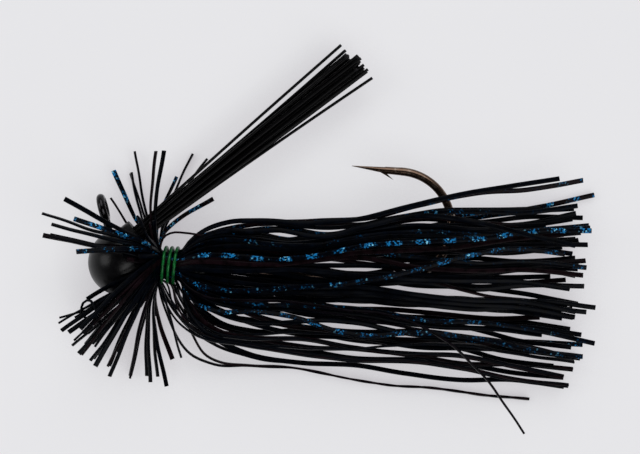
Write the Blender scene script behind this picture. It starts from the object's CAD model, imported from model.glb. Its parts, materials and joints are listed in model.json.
"""Looks of a skirted fishing jig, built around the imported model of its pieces.

The painted head, the bronzed hook, the glue and the guard's foot keep their modelled shape and get a
finish. The tie wire, the weed guard's bristles and the skirt's strands are rebuilt as round wire, round
bristles and soft flat strips, each where its modelled form lies. More strips lie between, across and
below the modelled ones.

Lengths are in metres. Inside a finish and in a stray strand's points they are in millimetres.
"""

from __future__ import annotations

import json
import logging
import math
from collections.abc import Mapping
from dataclasses import dataclass, field
from enum import Enum
from typing import Any, Union

import bpy
import numpy as np
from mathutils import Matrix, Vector


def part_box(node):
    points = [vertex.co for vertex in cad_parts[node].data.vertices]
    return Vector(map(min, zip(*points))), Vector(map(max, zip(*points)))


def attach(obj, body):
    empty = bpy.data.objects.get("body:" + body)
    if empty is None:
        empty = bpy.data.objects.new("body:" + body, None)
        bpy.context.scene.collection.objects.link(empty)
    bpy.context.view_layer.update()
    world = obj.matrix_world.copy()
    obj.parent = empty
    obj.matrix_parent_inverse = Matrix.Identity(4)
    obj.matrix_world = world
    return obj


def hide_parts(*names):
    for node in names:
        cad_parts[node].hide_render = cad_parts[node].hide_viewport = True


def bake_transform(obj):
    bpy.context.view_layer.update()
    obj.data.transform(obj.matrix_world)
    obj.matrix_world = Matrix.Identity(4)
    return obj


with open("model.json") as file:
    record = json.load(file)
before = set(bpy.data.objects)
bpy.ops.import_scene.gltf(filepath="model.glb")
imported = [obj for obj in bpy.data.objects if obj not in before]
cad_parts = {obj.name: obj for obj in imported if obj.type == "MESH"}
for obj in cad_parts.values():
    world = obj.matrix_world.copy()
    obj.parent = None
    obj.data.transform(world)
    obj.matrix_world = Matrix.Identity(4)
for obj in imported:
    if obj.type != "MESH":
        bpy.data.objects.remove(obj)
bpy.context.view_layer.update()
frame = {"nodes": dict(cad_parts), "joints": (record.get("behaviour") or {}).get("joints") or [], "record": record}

LOG = logging.getLogger("skirted_jig")
MM = 0.001
GOLDEN_ANGLE = math.radians(137.508)
GOLDEN_SHARE = 0.618034
ALONG_SHANK = np.array([1.0, 0.0, 0.0])
UP = np.array([0.0, 0.0, 1.0])
Colour = tuple[float, float, float]
# Where a smooth step begins and ends
Span = tuple[float, float]
# What an operator on a shader's value takes
Operand = Union["Value", float]


class Body(Enum):
    """The bodies that pieces ride on."""

    JIG = "jig"
    GUARD = "guard"


class StrandKind(Enum):
    """The two kinds of skirt strand, by their material slot."""

    PLAIN = "skirt_black"
    FLAKED = "skirt_flake"


@dataclass(frozen=True)
class Grain:
    """The grain of a noise: its patches for each unit of length, and its finer layers."""

    patches: float
    layers: float = 2.0


class Value:
    """One output socket of a shader, with Python's operators for its maths."""

    def __init__(self, graph: Graph, socket: bpy.types.NodeSocket) -> None:
        """Keep the socket and the graph that holds it."""
        self.graph = graph
        self.socket = socket

    def maths(self, operation: str, *operands: Operand) -> Value:
        """Add a Math node.

        Args:
            operation: The Math node's operation.
            operands: Its values or links, in order.

        Returns:
            The node's result.
        """
        return self.graph.node("ShaderNodeMath", {"operation": operation}, dict(enumerate(operands)))

    def __add__(self, other: Operand) -> Value:
        """Sum."""
        return self.maths("ADD", self, other)

    def __radd__(self, other: float) -> Value:
        """Sum with a number on the left."""
        return self.maths("ADD", other, self)

    def __sub__(self, other: Operand) -> Value:
        """Difference."""
        return self.maths("SUBTRACT", self, other)

    def __rsub__(self, other: float) -> Value:
        """Difference from a number on the left."""
        return self.maths("SUBTRACT", other, self)

    def __mul__(self, other: Operand) -> Value:
        """Product."""
        return self.maths("MULTIPLY", self, other)

    def __rmul__(self, other: float) -> Value:
        """Product with a number on the left."""
        return self.maths("MULTIPLY", other, self)

    def fraction(self) -> Value:
        """The part after the decimal point."""
        return self.maths("FRACT", self)

    def distance(self) -> Value:
        """The value without its sign."""
        return self.maths("ABSOLUTE", self)

    def rise(self, low: float, high: float) -> Value:
        """A smooth step from 0 to 1.

        Args:
            low: Where the step begins.
            high: Where it ends; below low for a step down.

        Returns:
            The step.
        """
        sockets = {"Value": self, "From Min": low, "From Max": high}
        return self.graph.node("ShaderNodeMapRange", {"interpolation_type": "SMOOTHSTEP"}, sockets)


class Graph:
    """The nodes of one material or world while they are being laid out."""

    def __init__(self, tree: bpy.types.NodeTree) -> None:
        """Start with an empty tree."""
        self.tree = tree
        tree.nodes.clear()

    def node(
        self,
        kind: str,
        settings: Mapping[str, Any] | None = None,
        sockets: Mapping[str | int, Any] | None = None,
        output: str | int = 0,
    ) -> Value:
        """Add a node.

        Args:
            kind: The node's type.
            settings: Its own settings, set first.
            sockets: The values or links of its inputs.
            output: Which output to hand back.

        Returns:
            The chosen output.
        """
        made = self.tree.nodes.new(kind)
        for name, setting in (settings or {}).items():
            setattr(made, name, setting)
        for name, value in (sockets or {}).items():
            self._feed(made.inputs[name], value)
        return Value(self, made.outputs[output] if len(made.outputs) else None)

    def _feed(self, socket: bpy.types.NodeSocket, value: Any) -> None:
        """Link a value to a socket, or set the socket's own number or colour.

        Args:
            socket: The input.
            value: What it gets.
        """
        if isinstance(value, Value):
            self.tree.links.new(value.socket, socket)
        elif socket.type == "RGBA":
            socket.default_value = (*value, 1.0)
        else:
            socket.default_value = value

    def place(self) -> Value:
        """The point in the part's frame, in millimetres."""
        point = self.node("ShaderNodeTexCoord", output="Object")
        return self.node("ShaderNodeVectorMath", {"operation": "SCALE"}, {0: point, "Scale": 1 / MM})

    def axis(self, vector: Value, name: str) -> Value:
        """One coordinate, X, Y or Z, of a vector."""
        return self.node("ShaderNodeSeparateXYZ", sockets={0: vector}, output=name)

    def attribute(self, name: str) -> Value:
        """A number that the mesh holds at its points."""
        return self.node("ShaderNodeAttribute", {"attribute_name": name}, output="Fac")

    def noise(self, vector: Value, grain: Grain) -> Value:
        """Soft noise about 0.5.

        Args:
            vector: Where to read it.
            grain: How fine it is.

        Returns:
            The noise.
        """
        sockets = {"Vector": vector, "Scale": grain.patches, "Detail": grain.layers}
        return self.node("ShaderNodeTexNoise", sockets=sockets)

    def mix(self, share: Operand, first: Value | Colour, second: Value | Colour) -> Value:
        """Blend two colours.

        Args:
            share: How much of the second.
            first: The colour at 0.
            second: The colour at 1.

        Returns:
            The blended colour.
        """
        factor, colour_a, colour_b, result = 0, 6, 7, 2
        sockets = {factor: share, colour_a: first, colour_b: second}
        return self.node("ShaderNodeMix", {"data_type": "RGBA"}, sockets, result)

    def bump(self, height: Value, depth_mm: float) -> Value:
        """A surface normal from a height of 0 to 1.

        Args:
            height: The height.
            depth_mm: The depth of a height of 1, in millimetres.

        Returns:
            The normal.
        """
        sockets = {"Height": height, "Distance": depth_mm * MM, "Strength": 1.0}
        return self.node("ShaderNodeBump", sockets=sockets)

    def surface(self, **sockets: Any) -> None:
        """Close a material with its one shader.

        Args:
            sockets: The shader's values or links, with underscores for the spaces in their names.
        """
        named = {name.replace("_", " "): value for name, value in sockets.items()}
        shader = self.node("ShaderNodeBsdfPrincipled", sockets=named)
        self.node("ShaderNodeOutputMaterial", sockets={"Surface": shader})


@dataclass(frozen=True)
class Finish:
    """A surface finish: a named material and the nodes that make it."""

    name: str

    def material(self) -> bpy.types.Material:
        """Find the material, or make it the first time it is asked for.

        Returns:
            The material.
        """
        found = bpy.data.materials.get(self.name)
        if found is None:
            found = bpy.data.materials.new(self.name)
            found.use_nodes = True
            self.lay_out(Graph(found.node_tree))
        return found

    def lay_out(self, graph: Graph) -> None:
        """Add the finish's nodes to an empty graph."""
        raise NotImplementedError

    def dress(self, piece: bpy.types.Object) -> None:
        """Give a piece this finish and no other."""
        piece.data.materials.clear()
        piece.data.materials.append(self.material())


@dataclass(frozen=True)
class PowderPaint(Finish):
    """Gloss black powder paint over cast lead, with a faint orange peel and dulled patches."""

    name: str = "black_powder_paint"
    deep: Colour = (0.0008, 0.0008, 0.0010)
    faded: Colour = (0.0028, 0.0026, 0.0034)
    clouds: Grain = Grain(0.45, 4.0)
    peel: Grain = Grain(1.9, 1.0)
    peel_depth: float = 0.012
    grit: Grain = Grain(9.0)
    grit_edge: Span = (0.62, 0.80)
    grit_height: float = 0.4
    gloss: float = 0.24
    cloud_dull: float = 0.26
    grit_dull: float = 0.2
    shine: float = 0.22

    def lay_out(self, graph: Graph) -> None:
        """Cloudy black, patchy gloss and orange peel.

        Args:
            graph: The material's empty graph.
        """
        place = graph.place()
        clouds = graph.noise(place, self.clouds)
        peel = graph.noise(place, self.peel)
        grit = graph.noise(place, self.grit).rise(*self.grit_edge)
        graph.surface(
            Base_Color=graph.mix(clouds, self.deep, self.faded),
            Roughness=self.gloss + self.cloud_dull * clouds * clouds + self.grit_dull * grit,
            Normal=graph.bump(peel + self.grit_height * grit, self.peel_depth),
            Specular_IOR_Level=self.shine,
        )


@dataclass(frozen=True)
class BronzedSteel(Finish):
    """Dark bronzed hook wire, blackened towards the eye, with drawing marks and rubbed patches."""

    name: str = "bronzed_hook_wire"
    bronze: Colour = (0.130, 0.084, 0.060)
    rubbed: Colour = (0.270, 0.222, 0.186)
    black: Colour = (0.024, 0.023, 0.025)
    bronzing: Span = (8.0, 24.0)
    patches: Grain = Grain(0.8, 5.0)
    rub_edge: Span = (0.45, 0.75)
    streaks: Grain = Grain(14.0, 3.0)
    streak_depth: float = 0.004
    gloss: float = 0.10
    patch_dull: float = 0.14
    streak_dull: float = 0.08

    def lay_out(self, graph: Graph) -> None:
        """Bronze to black along the shank, with a streaky roughness.

        Args:
            graph: The material's empty graph.
        """
        place = graph.place()
        along = graph.axis(place, "X").rise(*self.bronzing)
        patches = graph.noise(place, self.patches)
        streaks = graph.noise(place, self.streaks)
        tone = graph.mix(patches.rise(*self.rub_edge), self.bronze, self.rubbed)
        graph.surface(
            Base_Color=graph.mix(along, self.black, tone),
            Metallic=1.0,
            Roughness=self.gloss + self.patch_dull * patches + self.streak_dull * streaks,
            Normal=graph.bump(streaks, self.streak_depth),
        )


@dataclass(frozen=True)
class GreenLacquer(Finish):
    """Copper wire under clear green lacquer."""

    name: str = "green_lacquered_wire"
    deep: Colour = (0.001, 0.050, 0.010)
    bright: Colour = (0.004, 0.170, 0.032)
    pools: Grain = Grain(1.6, 3.0)
    pool_edge: Span = (0.30, 0.70)
    dimples: Grain = Grain(7.0)
    dimple_depth: float = 0.004
    metal: float = 0.35
    gloss: float = 0.22
    pool_dull: float = 0.16
    coat: float = 0.06
    coat_dull: float = 0.10
    shine: float = 0.3

    def lay_out(self, graph: Graph) -> None:
        """Green that pools darker in places, over a bright core.

        Args:
            graph: The material's empty graph.
        """
        place = graph.place()
        pools = graph.noise(place, self.pools)
        graph.surface(
            Base_Color=graph.mix(pools.rise(*self.pool_edge), self.deep, self.bright),
            Metallic=self.metal,
            Roughness=self.gloss + self.pool_dull * pools,
            Coat_Weight=self.coat,
            Coat_Roughness=self.coat_dull,
            Specular_IOR_Level=self.shine,
            Normal=graph.bump(graph.noise(place, self.dimples), self.dimple_depth),
        )


@dataclass(frozen=True)
class SatinNylon(Finish):
    """Black nylon bristle, a little greyer where its tip is cut."""

    name: str = "black_nylon_bristle"
    core: Colour = (0.0003, 0.0003, 0.0004)
    pale: Colour = (0.0018, 0.0017, 0.0021)
    cut: Colour = (0.0160, 0.0150, 0.0170)
    cut_edge: Span = (0.985, 1.0)
    marks: Grain = Grain(5.0, 3.0)
    mark_depth: float = 0.003
    satin: float = 0.26
    mark_dull: float = 0.16
    cut_dull: float = 0.2
    shine: float = 0.07

    def lay_out(self, graph: Graph) -> None:
        """Each bristle its own black, with fine drawing marks along it.

        Args:
            graph: The material's empty graph.
        """
        place = graph.place()
        marks = graph.noise(place, self.marks)
        body = graph.mix(graph.attribute("tone"), self.core, self.pale)
        tip = graph.attribute("along").rise(*self.cut_edge)
        graph.surface(
            Base_Color=graph.mix(tip, body, self.cut),
            Roughness=self.satin + self.mark_dull * marks + self.cut_dull * tip,
            Normal=graph.bump(marks, self.mark_depth),
            Specular_IOR_Level=self.shine,
        )


@dataclass(frozen=True)
class SkirtSilicone(Finish):
    """Black silicone strip with a blue or maroon cast, and blue flake in dashes where it is flaked.

    A strand's tone, from 0 to 1, shifts its smears and its dashes, so that no two strands look alike.
    """

    name: str = "black_skirt_silicone"
    kind: StrandKind = StrandKind.PLAIN
    black: Colour = (0.0002, 0.0002, 0.0003)
    blue_cast: Colour = (0.0007, 0.0016, 0.0040)
    maroon_cast: Colour = (0.0075, 0.0028, 0.0044)
    maroon_tones: Span = (0.78, 0.90)
    smears: Grain = Grain(0.9, 3.0)
    smear_edge: Span = (0.20, 0.70)
    smear_shift: float = 40.0
    dimples: Grain = Grain(2.2)
    dimple_depth: float = 0.006
    satin: float = 0.20
    smear_dull: float = 0.22
    shine: float = 0.04
    navy: Colour = (0.0004, 0.0030, 0.0090)
    blue: Colour = (0.0090, 0.1800, 0.4500)
    glint: Colour = (0.2400, 0.6600, 0.8800)
    dash_pitch: float = 4.4
    dash_length: float = 2.2
    dash_shift: float = 90.0
    dash_edge: Span = (0.16, 0.06)
    wander: Grain = Grain(0.35, 1.0)
    wander_reach: float = 1.6
    ragged: Grain = Grain(3.2)
    ragged_reach: float = 0.26
    patches: Grain = Grain(0.07, 1.0)
    patch_edge: Span = (0.40, 0.62)
    flakes_per_mm: float = 4.4
    crowding: float = 0.38
    lit_edge: Span = (0.85, 1.10)
    lit_strengths: Span = (0.0, 0.60)
    glint_edge: Span = (0.78, 0.97)
    dust: float = 0.12
    dust_edge: Span = (0.90, 1.0)

    def lay_out(self, graph: Graph) -> None:
        """Black that varies from strand to strand, then the flake, then a satin skin.

        Args:
            graph: The material's empty graph.
        """
        tone = graph.attribute("tone")
        along = graph.attribute("along")
        across = graph.attribute("across")
        sockets = {0: across, 1: along, 2: self.smear_shift * tone}
        strip = graph.node("ShaderNodeCombineXYZ", sockets=sockets)
        smears = graph.noise(strip, self.smears)
        cast = graph.mix(tone.rise(*self.maroon_tones), self.blue_cast, self.maroon_cast)
        colour = graph.mix(smears.rise(*self.smear_edge), self.black, cast)
        if self.kind is StrandKind.FLAKED:
            colour = self._flake(graph, strip, along, tone, colour)
        graph.surface(
            Base_Color=colour,
            Roughness=self.satin + self.smear_dull * smears,
            Normal=graph.bump(graph.noise(strip, self.dimples), self.dimple_depth),
            Specular_IOR_Level=self.shine,
        )

    def _dashes(self, graph: Graph, strip: Value, along: Value, tone: Value) -> Value:
        """Where a strand's flake lies: ragged dashes that wander about an even pitch.

        Args:
            graph: The material's graph.
            strip: Across, along and the strand's own shift, in millimetres.
            along: Millimetres along the strand.
            tone: The strand's tone.

        Returns:
            1 in a dash and 0 between dashes.
        """
        wander = graph.noise(strip, self.wander)
        start = along + self.dash_shift * tone + self.wander_reach * wander
        turn = (start * (1 / self.dash_pitch)).fraction()
        ragged = self.ragged_reach * graph.noise(strip, self.ragged)
        half = self.dash_length / self.dash_pitch / 2
        limits = (half + edge for edge in self.dash_edge)
        return ((turn - 0.5).distance() + ragged).rise(*limits)

    def _flake(self, graph: Graph, strip: Value, along: Value, tone: Value, base: Value) -> Value:
        """Lay dashes of flake over a strand's colour.

        Args:
            graph: The material's graph.
            strip: Across, along and the strand's own shift, in millimetres.
            along: Millimetres along the strand.
            tone: The strand's tone.
            base: The colour under the flake.

        Returns:
            The strand's colour with its flake.
        """
        dash = self._dashes(graph, strip, along, tone)
        sockets = {"Vector": strip, "Scale": self.flakes_per_mm, "Randomness": 1.0}
        cells = graph.node("ShaderNodeTexVoronoi", {"feature": "F1"}, sockets, "Color")
        patches = graph.noise(strip, self.patches).rise(*self.patch_edge)
        strength = graph.attribute("flake")
        strength = strength * (patches + (1 - patches) * strength)
        chance = graph.axis(cells, "X")
        glints = graph.axis(cells, "Y").rise(*self.glint_edge)
        dust = self.dust * chance.rise(*self.dust_edge)
        shown = dash + dust - dash * dust
        ground = graph.mix(strength * shown, base, self.navy)
        bits = graph.mix(glints, self.blue, self.glint)
        crowded = (chance + self.crowding * strength).rise(*self.lit_edge)
        lit = crowded * strength.rise(*self.lit_strengths)
        return graph.mix(shown * lit, ground, bits)


@dataclass(frozen=True)
class AmberGlue(Finish):
    """Clear amber glue, cloudy in places."""

    name: str = "amber_glue"
    clear: Colour = (0.300, 0.225, 0.120)
    cloudy: Colour = (0.420, 0.380, 0.290)
    clouds: Grain = Grain(2.5, 4.0)
    cloud_depth: float = 0.01
    gloss: float = 0.12
    cloud_dull: float = 0.2

    def lay_out(self, graph: Graph) -> None:
        """Amber with cloudy swirls and a glassy skin.

        Args:
            graph: The material's empty graph.
        """
        clouds = graph.noise(graph.place(), self.clouds)
        graph.surface(
            Base_Color=graph.mix(clouds, self.clear, self.cloudy),
            Roughness=self.gloss + self.cloud_dull * clouds,
            Normal=graph.bump(clouds, self.cloud_depth),
        )


@dataclass(frozen=True)
class FusedNylon(Finish):
    """The guard's foot, where the bristles are fused into one black plug."""

    name: str = "fused_nylon"
    black: Colour = (0.006, 0.006, 0.007)
    grey: Colour = (0.030, 0.029, 0.032)
    ends_per_mm: float = 2.2
    rim_edge: Span = (0.15, 0.55)
    rim_depth: float = 0.03
    matt: float = 0.45
    rim_dull: float = 0.25

    def lay_out(self, graph: Graph) -> None:
        """Matt black with the ends of the bristles still showing.

        Args:
            graph: The material's empty graph.
        """
        sockets = {"Vector": graph.place(), "Scale": self.ends_per_mm}
        ends = graph.node("ShaderNodeTexVoronoi", {"feature": "F1"}, sockets)
        rim = ends.rise(*self.rim_edge)
        graph.surface(
            Base_Color=graph.mix(rim, self.black, self.grey),
            Roughness=self.matt + self.rim_dull * rim,
            Normal=graph.bump(1 - rim, self.rim_depth),
        )


@dataclass(frozen=True)
class PaleTable(Finish):
    """The pale table that the jig lies on."""

    name: str = "pale_table"
    low: Colour = (0.838, 0.837, 0.861)
    high: Colour = (0.851, 0.849, 0.869)
    clouds: Grain = Grain(0.02)
    nook: Colour = (0.560, 0.532, 0.571)
    nook_reach: float = 8.0
    nook_samples: int = 4
    cloth_dull: float = 0.3
    glow: float = 0.74
    lookers: tuple[str, ...] = ("Is Camera Ray", "Is Glossy Ray", "Is Transmission Ray")

    def lay_out(self, graph: Graph) -> None:
        """Nearly even off-white, darker in nooks, and lit through for whatever looks straight at it.

        Args:
            graph: The material's empty graph.
        """
        clouds = graph.noise(graph.place(), self.clouds)
        samples, reach = {"samples": self.nook_samples}, {"Distance": self.nook_reach * MM}
        openness = graph.node("ShaderNodeAmbientOcclusion", samples, reach, "AO")
        tone = graph.mix(openness, self.nook, graph.mix(clouds, self.low, self.high))
        cloth = graph.node("ShaderNodeBsdfDiffuse", sockets={"Color": tone, "Roughness": self.cloth_dull})
        light = graph.node("ShaderNodeEmission", sockets={"Color": tone, "Strength": 1.0})
        camera, mirror, glass = (graph.node("ShaderNodeLightPath", output=ray) for ray in self.lookers)
        share = self.glow * (camera + mirror + glass).rise(0.0, 1.0)
        both = graph.node("ShaderNodeMixShader", sockets={0: share, 1: cloth, 2: light})
        graph.node("ShaderNodeOutputMaterial", sockets={"Surface": both})


def add_object(name: str, data: bpy.types.ID) -> bpy.types.Object:
    """Put a new object into the scene.

    Args:
        name: Its name.
        data: Its mesh, camera or light.

    Returns:
        The object.
    """
    made = bpy.data.objects.new(name, data)
    bpy.context.scene.collection.objects.link(made)
    return made


@dataclass
class Tubes:
    """Closed tubes gathered into one mesh, with numbers at their points.

    Edges that turn more than sharp_deg stay sharp.
    """

    name: str
    points: list[np.ndarray] = field(default_factory=list)
    faces: list[list[int]] = field(default_factory=list)
    numbers: dict[str, list[np.ndarray]] = field(default_factory=dict)
    count: int = 0
    sharp_deg: float = 55.0

    def add(self, rings: np.ndarray, **numbers: np.ndarray | float) -> None:
        """Add one tube.

        Args:
            rings: Points as rings, sides and coordinates, each ring turning about the way ahead.
            numbers: Values for its points, each a number or an array of rings by sides.
        """
        ring_count, sides = rings.shape[:2]
        ids = self.count + np.arange(ring_count * sides).reshape(ring_count, sides)
        turned = np.roll(ids, -1, axis=1)
        quads = np.stack([ids[:-1], turned[:-1], turned[1:], ids[1:]], axis=-1)
        self.faces += quads.reshape(-1, 4).tolist()
        self.faces += [ids[0][::-1].tolist(), ids[-1].tolist()]
        self.points.append(rings.reshape(-1, 3))
        self.count += ring_count * sides
        for key, value in numbers.items():
            spread = np.broadcast_to(value, (ring_count, sides)).astype(np.float32)
            self.numbers.setdefault(key, []).append(spread.reshape(-1))

    def build(self) -> bpy.types.Object:
        """Make the mesh object.

        Returns:
            The object, linked to the scene.
        """
        mesh = bpy.data.meshes.new(self.name)
        mesh.from_pydata(np.concatenate(self.points).tolist(), [], self.faces)
        for key, values in self.numbers.items():
            mesh.attributes.new(key, "FLOAT", "POINT").data.foreach_set("value", np.concatenate(values))
        mesh.polygons.foreach_set("use_smooth", [True] * len(mesh.polygons))
        mesh.set_sharp_from_angle(angle=math.radians(self.sharp_deg))
        mesh.update()
        return add_object(self.name, mesh)


def unit(vectors: np.ndarray) -> np.ndarray:
    """Vectors of length 1 along the last axis."""
    return vectors / np.linalg.norm(vectors, axis=-1, keepdims=True)


def smooth_through(places: np.ndarray, values: np.ndarray, wanted: np.ndarray) -> np.ndarray:
    """A smooth curve through given values.

    Args:
        places: Where the values are known, rising.
        values: The values there, one row each.
        wanted: Where to read the curve.

    Returns:
        The curve's values at the wanted places.
    """
    steps = np.diff(places)[:, None]
    slopes = np.diff(values, axis=0) / steps
    inner = (slopes[:-1] * steps[1:] + slopes[1:] * steps[:-1]) / (steps[1:] + steps[:-1])
    rates = np.concatenate([slopes[:1], inner, slopes[-1:]])
    at = np.clip(np.searchsorted(places, wanted, side="right") - 1, 0, len(places) - 2)
    span = steps[at]
    t = (wanted - places[at])[:, None] / span
    start = (1 + 2 * t) * (1 - t) ** 2 * values[at] + t * (1 - t) ** 2 * span * rates[at]
    end = t * t * (3 - 2 * t) * values[at + 1] + t * t * (t - 1) * span * rates[at + 1]
    return start + end


def ways_ahead(path: np.ndarray) -> np.ndarray:
    """The direction of a path at each of its points."""
    return unit(np.gradient(path, axis=0))


def lengths_along(path: np.ndarray) -> np.ndarray:
    """How far along a path each of its points lies."""
    return np.concatenate([[0.0], np.cumsum(np.linalg.norm(np.diff(path, axis=0), axis=1))])


def round_rings(path: np.ndarray, radius: float, sides: int, up: np.ndarray) -> np.ndarray:
    """Rings of a round tube along a path.

    Args:
        path: The tube's middle line.
        radius: The tube's radius.
        sides: Points in a ring.
        up: A direction that is never along the path, one or one for each point.

    Returns:
        The rings.
    """
    ahead = ways_ahead(path)
    width = unit(np.cross(np.broadcast_to(up, path.shape), ahead))
    normal = np.cross(ahead, width)
    turns = np.linspace(0, 2 * math.pi, sides, endpoint=False)[None, :, None]
    circle = np.cos(turns) * width[:, None] + np.sin(turns) * normal[:, None]
    return path[:, None] + radius * circle


@dataclass
class HeadAndHook:
    """The painted casting on its hook, with the guard's foot glued into it.

    These pieces keep their modelled shape and get a finish.
    """

    finishes: dict[str, Finish] = field(
        default_factory=lambda: {
            "head_casting": PowderPaint(),
            "hook": BronzedSteel(),
            "guard_glue": AmberGlue(),
            "guard_plug": FusedNylon(),
        }
    )

    def build(self) -> None:
        """Dress each modelled piece."""
        for node, finish in self.finishes.items():
            finish.dress(frame["nodes"][node])
            LOG.info("%s: %s", node, finish.name)


@dataclass
class TieWire:
    """The green wire that binds the skirt: an open helix with short straight ends."""

    node: str = "tie_wire"
    wire: float = 0.5 * MM
    turns: int = 3
    pitch: float = 0.92 * MM
    start_deg: float = -100.0
    lead: float = 0.5 * MM
    rings_in_a_turn: int = 72
    sides: int = 16
    finish: Finish = GreenLacquer()

    def path(self) -> np.ndarray:
        """Work the wire's middle line out from the node's box.

        Returns:
            Points along the wire, from end to end.
        """
        low, high = (np.array(corner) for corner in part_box(self.node))
        middle = (low + high) / 2
        radius = (high[2] - low[2] - self.wire) / 2
        turn = np.linspace(0, self.turns, self.turns * self.rings_in_a_turn + 1)
        angle = math.radians(self.start_deg) - 2 * math.pi * turn
        along = (turn - self.turns / 2) * self.pitch
        helix = np.stack([along, radius * np.cos(angle), radius * np.sin(angle)], axis=1)
        helix += (middle[0], middle[1], 0.0)
        head = helix[0] + self.lead * unit(helix[0] - helix[1])
        tail = helix[-1] + self.lead * unit(helix[-1] - helix[-2])
        return np.concatenate([[head], helix, [tail]])

    def build(self) -> None:
        """Make the wire, dress it and put it in its node's place."""
        tubes = Tubes("tie_wire_round")
        tubes.add(round_rings(self.path(), self.wire / 2, self.sides, ALONG_SHANK))
        piece = tubes.build()
        self.finish.dress(piece)
        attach(piece, Body.JIG.value)
        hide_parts(self.node)
        LOG.info("%s: %d turns of wire", piece.name, self.turns)


@dataclass
class WeedGuard:
    """The fan of nylon bristles that springs out of the head."""

    node: str = "weed_guard"
    joint: str = "guard_flex"
    angle_deg: float = 41.6
    bristles: int = 30
    bristle: float = 0.48 * MM
    bundle_radius: float = 1.23 * MM
    root: float = 1.35 * MM
    length: float = 44.6 * MM
    uneven: float = 1.6 * MM
    uneven_step: float = 0.37
    tip_half_width: float = 3.05 * MM
    tip_half_depth: float = 2.1 * MM
    fan_power: float = 1.2
    stray_from: float = 0.86
    stray_spread: float = 1.36
    sway: float = 0.22 * MM
    sway_step: float = 5.0
    sway_start: float = 1.0
    sway_turn: float = 3.0
    tone_step: float = 0.618
    stations: int = 22
    sides: int = 8
    bend_from: float = -1.2 * MM
    bend_to: float = 4.0 * MM
    finish: Finish = SatinNylon()

    def _pivot(self) -> np.ndarray:
        """Where the guard bends at its root."""
        found = next(joint for joint in frame["joints"] if joint["name"] == self.joint)
        return np.array(found["pos_m"], float)

    def _ahead(self) -> np.ndarray:
        """The way the bristles point."""
        angle = math.radians(self.angle_deg)
        return np.array([math.cos(angle), math.sin(angle), 0.0])

    def bristle_path(self, index: int) -> np.ndarray:
        """The middle line of one bristle.

        Args:
            index: Its number on the sunflower spiral of the bundle.

        Returns:
            Points from its root to its tip.
        """
        ahead = self._ahead()
        side = np.array([-ahead[1], ahead[0], 0.0])
        share = math.sqrt((index + 0.5) / self.bristles)
        across = share * math.cos(index * GOLDEN_ANGLE)
        deep = share * math.sin(index * GOLDEN_ANGLE)
        end = self.length - self.uneven * ((index * self.uneven_step) % 1.0)
        along = np.linspace(-self.root, end, self.stations)
        opening = (np.maximum(along, 0) / self.length) ** self.fan_power
        stray = self.stray_spread if abs(across) > self.stray_from else 1.0
        reach = self.bundle_radius + (stray * self.tip_half_width - self.bundle_radius) * opening
        depth = self.bundle_radius + (self.tip_half_depth - self.bundle_radius) * opening
        side_sway = math.sin(self.sway_step * index + self.sway_start)
        wave = self.sway * np.sin(math.pi * np.maximum(along, 0) / end) * side_sway
        sideways = across * reach + wave
        upward = deep * depth + wave * math.cos(self.sway_turn * index)
        path = self._pivot() + along[:, None] * ahead + sideways[:, None] * side
        path[:, 2] += upward
        return path

    def build(self) -> None:
        """Make the bristles, dress them and let them bend at the guard's root."""
        tubes = Tubes("weed_guard_bristles")
        for index in range(self.bristles):
            path = self.bristle_path(index)
            rings = round_rings(path, self.bristle / 2, self.sides, UP)
            share = np.linspace(0, 1, self.stations)[:, None]
            tubes.add(rings, along=share, tone=(index * self.tone_step) % 1.0)
        piece = tubes.build()
        self.finish.dress(piece)
        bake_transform(piece)
        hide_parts(self.node)
        LOG.info("%s: %d bristles", piece.name, self.bristles)


@dataclass(frozen=True)
class StrandLook:
    """What sets one strand apart: its flake's strength, its tips' turns and how it lies.

    Strengths go from 0 to 1, and turns are in degrees. A strand that lies flat has its broad face up. One
    that makes way goes round the gaps between the tails.
    """

    front_flake: float = 0.0
    tail_flake: float = 0.0
    front_turn: float = 0.0
    tail_turn: float = 0.0
    lies_flat: bool = True
    makes_way: bool = True


@dataclass(frozen=True)
class Bow:
    """A bow in one strand's tail, over the table.

    It is widest at a place along X, where it moves the tail sideways along Y, and ends at its reach to
    either side of that place.
    """

    strand: int
    at: float
    reach: float
    sideways: float


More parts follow.
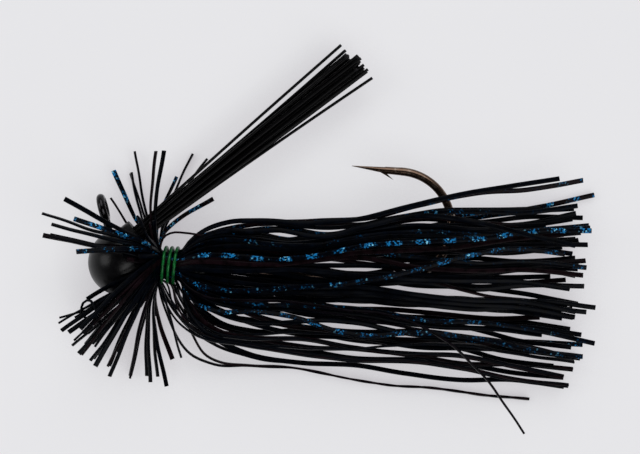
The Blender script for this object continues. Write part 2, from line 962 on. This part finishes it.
@dataclass
class StripForm:
    """The form of one strand, as rings from its front tip to its tail tip.

    A ring has a middle, half a width as a vector and half a thickness. The wire lies between the ring of
    the number split and the one before it.
    """

    middle: np.ndarray
    half_width: np.ndarray
    half_thickness: np.ndarray
    split: int = 7

    @classmethod
    def read(cls, node: bpy.types.Object) -> StripForm:
        """Read the rings of four corners from a strand's modelled object.

        Args:
            node: The modelled strand.

        Returns:
            Its form.
        """
        middles, widths, thicknesses = [], [], []
        for ring in cls._rings(node):
            apart = np.linalg.norm(ring - ring[0], axis=1)
            corner, near, far, opposite = ring[np.argsort(apart)]
            width = (corner + near - far - opposite) / 4
            if widths and width @ widths[-1] < 0:
                width = -width
            middles.append(ring.mean(axis=0))
            widths.append(width)
            thicknesses.append(np.linalg.norm(corner + far - near - opposite) / 4)
        return cls(np.array(middles), np.array(widths), np.array(thicknesses))

    @staticmethod
    def _rings(node: bpy.types.Object) -> list[np.ndarray]:
        """Walk a modelled strand from its front tip over its edges.

        Args:
            node: The modelled strand.

        Returns:
            Its rings of corners, in order.
        """
        weld_digits, inner_edges, corners = 7, 6, 4
        mesh = node.data
        raw = np.empty(len(mesh.vertices) * 3, np.float32)
        mesh.vertices.foreach_get("co", raw)
        welded = raw.reshape(-1, 3).astype(float).round(weld_digits)
        points, corner_of = np.unique(welded, axis=0, return_inverse=True)
        corner_of = corner_of.reshape(-1)
        near: list[set[int]] = [set() for _ in points]
        for edge in mesh.edges:
            a, b = (int(corner_of[v]) for v in edge.vertices)
            if a != b:
                near[a].add(b)
                near[b].add(a)
        tips = [i for i, links in enumerate(near) if len(links) < inner_edges]
        layer = set(sorted(tips, key=lambda i: points[i][0])[:corners])
        seen: set[int] = set()
        rings = []
        while layer:
            rings.append(points[sorted(layer)])
            seen |= layer
            layer = set().union(*(near[i] for i in layer)) - seen
        return rings

    def bowed(self, bow: Bow) -> StripForm:
        """Put a bow into the strand's tail.

        Args:
            bow: The bow.

        Returns:
            The bowed form.
        """
        off = np.clip(np.abs(self.middle[:, 0] - bow.at) / bow.reach, 0, 1)
        middle = self.middle.copy()
        middle[self.split :, 1] += (bow.sideways * np.cos(math.pi / 2 * off) ** 2)[self.split :]
        return StripForm(middle, self.half_width, self.half_thickness, self.split)

    def places(self) -> np.ndarray:
        """How far along the strand each ring lies."""
        return lengths_along(self.middle)

    def wire_at(self) -> float:
        """How far along the strand the wire lies."""
        places = self.places()
        return (places[self.split - 1] + places[self.split]) / 2


@dataclass(frozen=True)
class Filling:
    """A strand that lies between two others, a little inside their sheet, or crosses between them.

    Its front is a share of the first one's. If it crosses, its tail goes that share of the way over to
    the second one.
    """

    first: int
    second: int
    front_share: float = 0.35
    crosses: float = 0.0
    sink: float = 0.60 * MM
    wander: float = 0.35 * MM
    wander_turns: float = 0.9
    wander_step: float = 0.37
    gather: float = 0.88
    second_leads_each: int = 3
    turn_deg: float = 10.0
    settle: float = 14.0 * MM
    uneven: float = 0.18

    def form(self, forms: Mapping[int, StripForm], wire: np.ndarray) -> StripForm:
        """Work the strand out from its neighbours.

        Args:
            forms: The modelled strands by number.
            wire: The middle of the tie wire.

        Returns:
            The strand's form.
        """
        one, two = forms[self.first], forms[self.second]
        split = one.split
        back = one.middle[split:, 0] - one.middle[split, 0]
        ease = np.clip(back / self.settle, 0, 1)
        run = (back / back[-1])[:, None]
        if self.crosses:
            host, other = one, two
            share = 1 - self.crosses * run * run * (3 - 2 * run)
        else:
            host, other = (one, two) if self.first % self.second_leads_each else (two, one)
            share = 0.5 + (self.gather - 0.5) * run
        tail = share * host.middle[split:] + (1 - share) * other.middle[split:]
        turns = 2 * math.pi * (back / back[-1] * self.wander_turns + self.wander_step * self.first)
        tail[:, 1] += self.wander * ease * np.sin(turns)
        tail[:, 2] -= self.sink * ease * np.sign(tail[:, 2].mean())
        cut = 1 - self.uneven * (self.first * GOLDEN_SHARE % 1)
        tail = smooth_through(back, tail, back * cut)
        widths = one.half_width if self.first % 2 else two.half_width
        return StripForm(np.concatenate([self._front(one, wire), tail]), widths, one.half_thickness)

    def _front(self, one: StripForm, wire: np.ndarray) -> np.ndarray:
        """Turn the first neighbour's front about the shank and cut it shorter.

        Args:
            one: The first neighbour's form.
            wire: The middle of the tie wire.

        Returns:
            The front's middle line, from its tip to the wire.
        """
        outward = one.middle[: one.split][::-1]
        places = lengths_along(outward)
        outward = smooth_through(places, outward, places * self.front_share) - wire
        turn = math.radians(self.turn_deg) * np.sign(outward[:, 2].mean())
        turned = outward.copy()
        turned[:, 1] = outward[:, 1] * math.cos(turn) - outward[:, 2] * math.sin(turn)
        turned[:, 2] = outward[:, 1] * math.sin(turn) + outward[:, 2] * math.cos(turn)
        return (turned + wire)[::-1]


@dataclass(frozen=True)
class HemStrand:
    """A strand that leaves the wire forward, folds back below it and runs on with its host's tail."""

    host: int
    forward: float
    drop: float
    fading: float = 8.0 * MM

    def form(self, forms: Mapping[int, StripForm]) -> StripForm:
        """Work the strand out from its host.

        Args:
            forms: The modelled strands by number.

        Returns:
            The strand's form.
        """
        one = forms[self.host]
        first = one.split - 1
        middle = one.middle[first:].copy()
        fade = np.exp((middle[1, 0] - middle[1:, 0]) / self.fading)
        middle[1:, 0] -= self.forward * fade
        middle[1:, 1] -= self.drop * fade
        return StripForm(middle, one.half_width[first:], one.half_thickness[first:], split=1)


@dataclass(frozen=True)
class StrayStrand:
    """A strand that strays from the rest, on edge, with the points that it passes from the wire out.

    The points are in millimetres.
    """

    points: tuple[tuple[float, float, float], ...]
    width: float = 0.8 * MM
    thickness: float = 0.36 * MM

    def form(self) -> StripForm:
        """Lead the strand through its points, standing on edge.

        Returns:
            The strand's form.
        """
        middle = np.array(self.points) * MM
        half_width = np.tile((0.0, 0.0, self.width / 2), (len(middle), 1))
        return StripForm(middle, half_width, np.full(len(middle), self.thickness / 2), split=1)


@dataclass(frozen=True)
class Gap:
    """A gap between the tails, through which the table shows.

    It has a middle, a reach along X to either side and half a width.
    """

    x: float
    y: float
    reach: float
    half: float

    def part(self, path: np.ndarray) -> np.ndarray:
        """Lead a strand past the gap, on the side where it runs.

        Args:
            path: The strand's middle line.

        Returns:
            The line with room for the gap.
        """
        off = float(path[np.argmin(np.abs(path[:, 0] - self.x)), 1]) - self.y
        aside = math.copysign(math.hypot(off, self.half) - abs(off), off)
        near = np.clip(1 - ((path[:, 0] - self.x) / self.reach) ** 2, 0, 1) ** 2
        parted = path.copy()
        parted[:, 1] += aside * near
        return parted


@dataclass
class Skirt:
    """The silicone skirt: flat strips with rounded edges, for the modelled strands and more among them.

    Strands go by their modelled numbers. A sheet is a row of neighbours with a filling between each two,
    except at the partings.
    """

    prefix: str = "skirt_strand_"
    step: float = 0.75 * MM
    section_points: int = 12
    squareness: float = 0.5
    ripple: float = 0.05 * MM
    ripple_length: float = 7.5 * MM
    ripple_step: float = 2.4
    ripple_from: float = 4.0 * MM
    ripple_rise: float = 6.0 * MM
    full_width: float = 0.8 * MM
    swell: float = 3.5 * MM
    lowest: float = -4.93 * MM
    lie_flat: float = 0.75
    flat_from: float = 10.0 * MM
    finishes: dict[StrandKind, Finish] = field(
        default_factory=lambda: {
            StrandKind.PLAIN: SkirtSilicone("black_skirt_silicone", StrandKind.PLAIN),
            StrandKind.FLAKED: SkirtSilicone("flaked_skirt_silicone", StrandKind.FLAKED),
        }
    )
    looks: dict[int, StrandLook] = field(
        default_factory=lambda: {
            8: StrandLook(0.10, 0.35),
            9: StrandLook(1.00, 0.35),
            10: StrandLook(0.10, 0.30),
            12: StrandLook(0.05, 0.32),
            14: StrandLook(0.05, 0.35),
            19: StrandLook(0.60, 0.28),
            20: StrandLook(0.00, 1.00),
            23: StrandLook(0.05, 0.52),
            24: StrandLook(tail_turn=75.0, lies_flat=False),
            25: StrandLook(0.05, 0.50),
            28: StrandLook(0.80, 0.32, front_turn=80.0),
            34: StrandLook(0.70, 0.42, front_turn=60.0),
            39: StrandLook(0.05, 0.40),
            42: StrandLook(0.80, 0.80, front_turn=80.0),
            50: StrandLook(lies_flat=False),
        }
    )
    sheets: tuple[tuple[int, int], ...] = ((1, 7), (9, 15), (18, 22), (27, 32), (35, 39), (43, 48))
    partings: tuple[int, ...] = (4, 12, 29, 37, 45)
    long_front: float = 0.85
    long_fronts: tuple[int, ...] = (4, 5, 6, 12, 13, 14, 20, 21, 30, 31, 37, 38, 46, 47)
    crossings: tuple[Filling, ...] = (
        Filling(11, 13, crosses=1.0),
        Filling(22, 12, crosses=1.0),
        Filling(5, 3, crosses=1.0),
        Filling(14, 25, crosses=1.0),
        Filling(16, 15, crosses=0.8),
        Filling(26, 25, crosses=0.8),
        Filling(2, 9, crosses=0.7),
        Filling(17, 9, crosses=1.0),
        Filling(8, 10, crosses=0.9),
    )
    hem_step: int = 11
    hems: tuple[HemStrand, ...] = (
        HemStrand(16, 2.6 * MM, 1.1 * MM),
        HemStrand(26, 3.3 * MM, 0.9 * MM),
        HemStrand(41, 3.0 * MM, 1.1 * MM),
        HemStrand(49, 3.4 * MM, 0.9 * MM),
        HemStrand(26, 1.6 * MM, 0.5 * MM),
        HemStrand(41, 1.0 * MM, 0.4 * MM),
        HemStrand(49, 1.9 * MM, 0.5 * MM),
        HemStrand(50, 3.3 * MM, 0.8 * MM),
        HemStrand(16, 1.2 * MM, 0.5 * MM),
        HemStrand(40, 1.8 * MM, 0.6 * MM),
        HemStrand(33, 0.9 * MM, 0.4 * MM),
        HemStrand(26, 2.4 * MM, 0.3 * MM),
    )
    stray_step: int = 7
    strays: tuple[StrayStrand, ...] = (
        StrayStrand((
            (9.6, -10.3, 1.2), (8.5, -12.0, 3.0), (5.3, -14.8, 5.6), (3.0, -17.6, 7.0), (1.6, -18.4, 7.2),
            (0.9, -16.9, 7.2), (0.3, -15.3, 6.9), (-0.6, -14.6, 6.5), (-1.5, -15.1, 6.1), (-1.8, -16.2, 5.7),
            (-1.5, -17.3, 5.3), (-0.5, -17.7, 5.0), (0.4, -17.3, 4.6),
        )),
        StrayStrand((
            (9.6, -10.1, 1.0), (8.4, -11.7, 2.0), (4.6, -13.9, 3.0), (0.0, -16.1, 3.2), (-2.7, -16.9, 3.0),
            (-5.6, -17.8, 2.6),
        )),
        StrayStrand((
            (9.6, -6.6, 0.9), (9.7, -5.2, 1.3), (10.2, -4.0, 1.6), (11.4, -3.3, 2.0), (13.6, -3.2, 2.2),
            (16.0, -3.4, 2.2), (18.2, -3.9, 1.8),
        )),
        StrayStrand((
            (9.7, -10.6, 0.6), (10.0, -11.8, 1.4), (10.6, -13.2, 1.5), (11.5, -15.7, 1.2), (12.6, -19.2, 0.6),
            (13.9, -23.3, -0.4),
        )),
    )
    bows: tuple[Bow, ...] = (
        Bow(8, 50.0 * MM, 17.0 * MM, -0.9 * MM),
        Bow(17, 50.0 * MM, 17.0 * MM, -1.4 * MM),
        Bow(50, 33.5 * MM, 18.0 * MM, 2.2 * MM),
    )
    gaps: tuple[Gap, ...] = (
        Gap(40.3 * MM, -6.9 * MM, 12.0 * MM, 1.20 * MM),
        Gap(42.0 * MM, -16.9 * MM, 11.0 * MM, 0.80 * MM),
        Gap(28.5 * MM, -15.9 * MM, 10.0 * MM, 0.80 * MM),
        Gap(29.2 * MM, -2.6 * MM, 5.5 * MM, 0.65 * MM),
        Gap(37.0 * MM, -1.4 * MM, 5.0 * MM, 0.6 * MM),
    )

    def fillings(self) -> list[Filling]:
        """List the strands between neighbours, then those that cross.

        Returns:
            The fillings, those between with a long front where the strands around them hang down.
        """
        firsts = [n for low, high in self.sheets for n in range(low, high) if n not in self.partings]
        shares = {n: self.long_front for n in self.long_fronts}
        between = [Filling(n, n + 1, shares.get(n, Filling.front_share)) for n in firsts]
        return between + list(self.crossings)

    def kinds(self) -> dict[int, StrandKind]:
        """Read from the record which strands are modelled.

        Returns:
            Every modelled strand's kind by its number.
        """
        kinds = {}
        for row in frame["record"]["subparts"]:
            if row["node"].startswith(self.prefix):
                kinds[int(row["node"].removeprefix(self.prefix))] = StrandKind(row["material_slot"])
        return kinds

    @staticmethod
    def _wire_middle() -> np.ndarray:
        """The middle of the tie wire."""
        low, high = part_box(TieWire.node)
        return (np.array(low) + np.array(high)) / 2

    def _section(self) -> np.ndarray:
        """Draw a flat strip's section with rounded edges.

        Returns:
            Its points, on a half width and half thickness of 1.
        """
        turns = np.linspace(0, 2 * math.pi, self.section_points, endpoint=False)
        turns = turns + math.pi / self.section_points
        wave = np.stack([np.cos(turns), np.sin(turns)], axis=1)
        return np.sign(wave) * np.abs(wave) ** self.squareness

    def _settling(self, width: np.ndarray, ahead: np.ndarray, behind: np.ndarray) -> np.ndarray:
        """The turns that bring a tail's broad face up, as a strip lies down on those below it.

        Args:
            width: The strip's width direction at each place.
            ahead: The way it runs.
            behind: How far each place lies behind the wire.

        Returns:
            The turns, in radians.
        """
        level = unit(np.cross(UP, ahead))
        upright = np.cross(ahead, level)
        lean = np.unwrap(np.arctan2(np.sum(width * upright, axis=1), np.sum(width * level, axis=1)))
        flat = math.pi * round(float(lean[-1]) / math.pi)
        return self.lie_flat * np.clip(behind / self.flat_from, 0, 1) * (flat - lean)

    def _width_ways(
        self, form: StripForm, look: StrandLook, wanted: np.ndarray, ahead: np.ndarray
    ) -> np.ndarray:
        """Find which way a strand's width lies: as modelled, then turned as its look says.

        Args:
            form: The strand's form.
            look: What sets it apart.
            wanted: Places along it.
            ahead: The way it runs there.

        Returns:
            Directions of length 1, square to the way ahead.
        """
        places, wire_at = form.places(), form.wire_at()
        width = smooth_through(places, form.half_width, wanted)
        width = unit(width - np.sum(width * ahead, axis=1, keepdims=True) * ahead)
        turns_deg = [look.front_turn, 0, look.tail_turn]
        turn = np.radians(np.interp(wanted, [0, wire_at, places[-1]], turns_deg))
        if look.lies_flat:
            turn += self._settling(width, ahead, wanted - wire_at)
        turn = turn[:, None]
        return np.cos(turn) * width + np.sin(turn) * np.cross(ahead, width)

    def build_strip(
        self, name: str, form: StripForm, kind: StrandKind, number: int, look: StrandLook
    ) -> bpy.types.Object:
        """Make one strand.

        Args:
            name: The strand's name.
            form: Its form.
            kind: Plain or flaked.
            number: Its number, which scatters its tone and ripple.
            look: What sets it apart.

        Returns:
            The strand, dressed and riding on the jig.
        """
        places, wire_at = form.places(), form.wire_at()
        wanted = np.linspace(0, places[-1], int(places[-1] / self.step) + 1)
        path = smooth_through(places, form.middle, wanted)
        for gap in self.gaps if look.makes_way else ():
            path = gap.part(path)
        ahead = ways_ahead(path)
        width = self._width_ways(form, look, wanted, ahead)
        normal = np.cross(ahead, width)
        off_wire = np.abs(wanted - wire_at)
        loose = np.clip((off_wire - self.ripple_from) / self.ripple_rise, 0, 1)
        turns = 2 * math.pi * wanted / self.ripple_length + self.ripple_step * number
        ripple = self.ripple * loose * np.sin(turns)
        path = path + ripple[:, None] * normal
        path[:, 2] = np.maximum(path[:, 2], self.lowest)
        half_width = np.interp(wanted, places, np.linalg.norm(form.half_width, axis=1))
        swollen = self.full_width / 2 * np.clip(off_wire / self.swell, 0, 1)
        half_width = np.maximum(half_width, swollen)
        half_thickness = np.interp(wanted, places, form.half_thickness)
        section = self._section()
        sides = half_width[:, None, None] * section[None, :, :1] * width[:, None]
        faces = half_thickness[:, None, None] * section[None, :, 1:] * normal[:, None]
        tubes = Tubes(name)
        tubes.add(
            path[:, None] + sides + faces,
            along=wanted[:, None] / MM,
            across=half_width[:, None] * section[None, :, 0] / MM,
            tone=(number * GOLDEN_SHARE) % 1.0,
            flake=np.where(wanted < wire_at, look.front_flake, look.tail_flake)[:, None],
        )
        piece = tubes.build()
        self.finishes[kind].dress(piece)
        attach(piece, Body.JIG.value)
        LOG.info("%s: %s", name, kind.name.lower())
        return piece

    def build(self) -> None:
        """Make the modelled strands, then the fillings, the hems and the strays."""
        wire = self._wire_middle()
        kinds = self.kinds()
        nodes = {number: f"{self.prefix}{number:02d}" for number in kinds}
        forms = {number: StripForm.read(frame["nodes"][node]) for number, node in nodes.items()}
        for bow in self.bows:
            forms[bow.strand] = forms[bow.strand].bowed(bow)
        for number, kind in kinds.items():
            name = f"silicone_strand_{number:02d}"
            look = self.looks.get(number, StrandLook())
            piece = self.build_strip(name, forms[number], kind, number, look)
            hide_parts(nodes[number])
        plain = StrandKind.PLAIN
        over_gaps = StrandLook(lies_flat=False, makes_way=False)
        for place, filling in enumerate(self.fillings(), start=1):
            name = f"silicone_filling_{place:02d}"
            look = over_gaps if filling.crosses else StrandLook()
            self.build_strip(name, filling.form(forms, wire), plain, len(kinds) + place, look)
        on_edge = StrandLook(lies_flat=False)
        for place, hem in enumerate(self.hems, start=1):
            name = f"silicone_hem_{place:02d}"
            self.build_strip(name, hem.form(forms), plain, self.hem_step * place, on_edge)
        for place, stray in enumerate(self.strays, start=1):
            name = f"silicone_stray_{place:02d}"
            self.build_strip(name, stray.form(), plain, self.stray_step * place, on_edge)


@dataclass(frozen=True)
class Lamp:
    """A soft lamp, far away, with its place and spread in degrees.

    Its azimuth goes from +X towards +Y and its elevation up from the table. Its strength is its light on
    a surface that faces it, and its spread is how wide it looks from there.
    """

    name: str
    azimuth: float
    elevation: float
    strength: float
    spread: float

    def hang(self) -> None:
        """Put the lamp into the scene."""
        data = bpy.data.lights.new(self.name, "SUN")
        data.energy = self.strength
        data.angle = math.radians(self.spread)
        turn, rise = math.radians(self.azimuth), math.radians(self.elevation)
        level = math.cos(rise)
        towards = Vector((math.cos(turn) * level, math.sin(turn) * level, math.sin(rise)))
        add_object(self.name, data).rotation_euler = towards.to_track_quat("Z", "Y").to_euler()


@dataclass
class Studio:
    """The pale table, the soft light and the camera of the photograph's view."""

    target: tuple[float, float, float] = (35.06 * MM, -1.0 * MM, 0.0)
    roll_deg: float = 3.3
    frame_width: float = 103.2 * MM
    lens_mm: float = 100.0
    sensor_mm: float = 36.0
    nearest: float = 0.01
    table_level: float = -5.35 * MM
    table_size: float = 6.0
    zenith: float = 0.015
    horizon: float = 0.12
    overhead: Span = (0.55, 0.88)
    left_wall: float = 0.35
    wall_height: Span = (0.50, 0.15)
    wall_side: Span = (0.0, -0.8)
    sky_tint: Colour = (0.97, 0.98, 1.0)
    lamps: tuple[Lamp, ...] = (
        Lamp("left_window", 172.0, 36.0, 0.7, 36.0),
        Lamp("back_window", 85.0, 40.0, 1.1, 50.0),
        Lamp("right_window", -40.0, 52.0, 1.4, 46.0),
    )

    def build_camera(self) -> None:
        """Look straight down, turned as the photograph is."""
        data = bpy.data.cameras.new("photo_camera")
        data.lens = self.lens_mm
        data.sensor_width = self.sensor_mm
        data.clip_start = self.nearest
        camera = add_object("photo_camera", data)
        rise = self.frame_width * self.lens_mm / self.sensor_mm
        camera.location = Vector(self.target) + Vector((0.0, 0.0, rise))
        camera.rotation_euler = (0.0, 0.0, math.radians(self.roll_deg))
        bpy.context.scene.camera = camera

    def build_table(self) -> None:
        """Lay the table under the jig's lowest point."""
        half = self.table_size / 2
        square = ((-half, -half), (half, -half), (half, half), (-half, half))
        mesh = bpy.data.meshes.new("pale_table")
        mesh.from_pydata([(x, y, self.table_level) for x, y in square], [], [[0, 1, 2, 3]])
        table = add_object("pale_table", mesh)
        PaleTable().dress(table)

    def build_sky(self) -> None:
        """Light from all sides that falls off overhead, with a brighter wall on the left."""
        world = bpy.data.worlds.new("soft_surround")
        bpy.context.scene.world = world
        world.use_nodes = True
        graph = Graph(world.node_tree)
        way = graph.node("ShaderNodeTexCoord", output="Generated")
        height = graph.axis(way, "Z")
        overhead = height.rise(*self.overhead)
        wall = height.rise(*self.wall_height) * graph.axis(way, "X").rise(*self.wall_side)
        level = self.horizon + (self.zenith - self.horizon) * overhead + self.left_wall * wall
        sockets = {"Color": self.sky_tint, "Strength": level}
        shade = graph.node("ShaderNodeBackground", sockets=sockets)
        graph.node("ShaderNodeOutputWorld", sockets={"Surface": shade})

    def build(self) -> None:
        """Set up the camera, the table and the light."""
        bpy.context.scene.view_settings.view_transform = "Standard"
        self.build_camera()
        self.build_table()
        self.build_sky()
        for lamp in self.lamps:
            lamp.hang()
        LOG.info("studio: table at %.2f mm", self.table_level / MM)


def main() -> None:
    """Build the jig and its studio, and note the size of both models."""
    logging.basicConfig(level=logging.INFO, format="%(message)s")
    Studio().build()
    HeadAndHook().build()
    TieWire().build()
    WeedGuard().build()
    Skirt().build()


if __name__ == "__main__":
    main()
